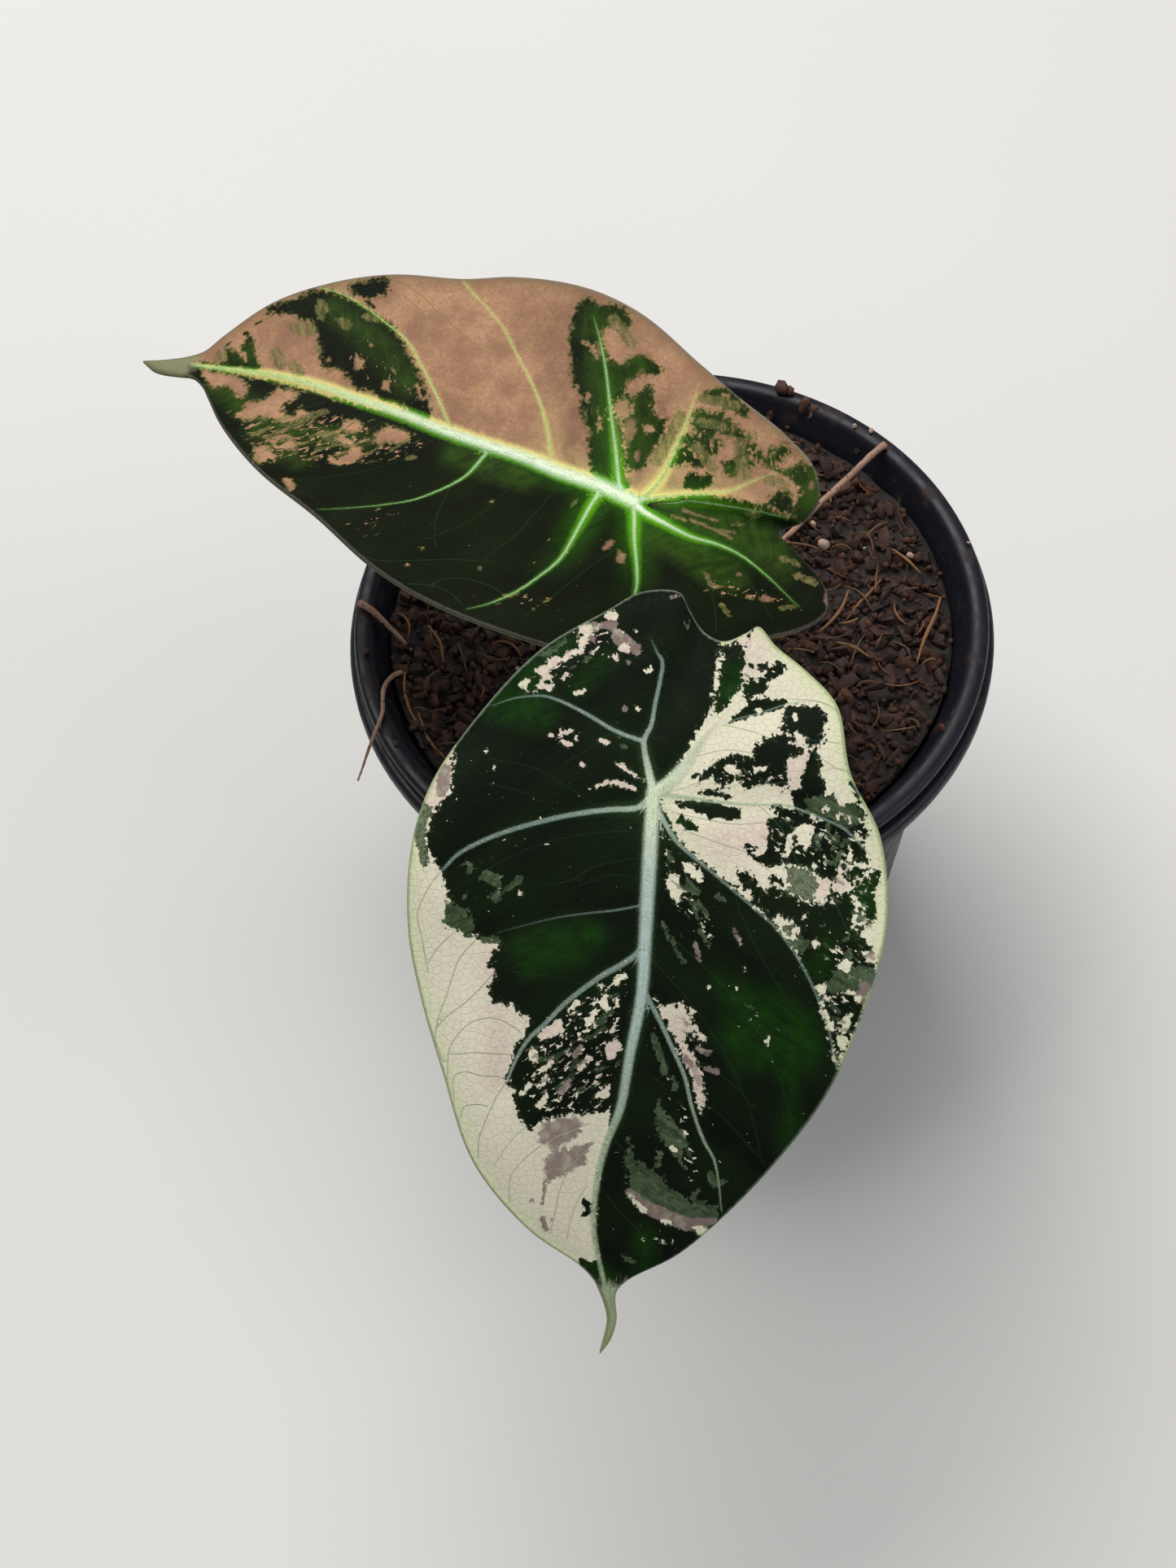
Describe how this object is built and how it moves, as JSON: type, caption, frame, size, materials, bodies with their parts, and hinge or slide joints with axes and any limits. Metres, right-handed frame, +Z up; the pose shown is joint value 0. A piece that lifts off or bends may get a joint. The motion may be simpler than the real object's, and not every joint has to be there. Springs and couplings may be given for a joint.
{
  "type": "potted pink black velvet alocasia",
  "caption": "Young potted aroid with thick heart-shaped leaves patterned in cream, pink and near-black green, standing in coco chips in a round black nursery pot.",
  "frame": {"origin": "middle of the pot's base, on the surface that it stands on", "axes": "+Z up; the front leaf hangs out over the rim towards -Y, and the back leaf points towards -X"},
  "size_m": [0.1549, 0.2094, 0.1702],
  "materials": {
    "pot_plastic": "satin black",
    "coco_mix": "damp chips and fibre",
    "rhizome_skin": "scarred green-brown skin",
    "petiole_skin": "smooth, slightly waxy",
    "cream_blade": "velvety, dark green and cream",
    "pink_blade": "velvety, dusty pink and dark green",
    "dry_root": "dry skin"
  },
  "bodies": {
    "root": {"nursery_pot": "pot_plastic", "potting_mix": "coco_mix", "rhizome": "rhizome_skin", "front_petiole": "petiole_skin", "back_petiole": "petiole_skin", "front_blade": "cream_blade", "back_blade": "pink_blade", "root_right": "dry_root", "root_left": "dry_root", "root_trailing": "dry_root"}
  },
  "joints": []
}
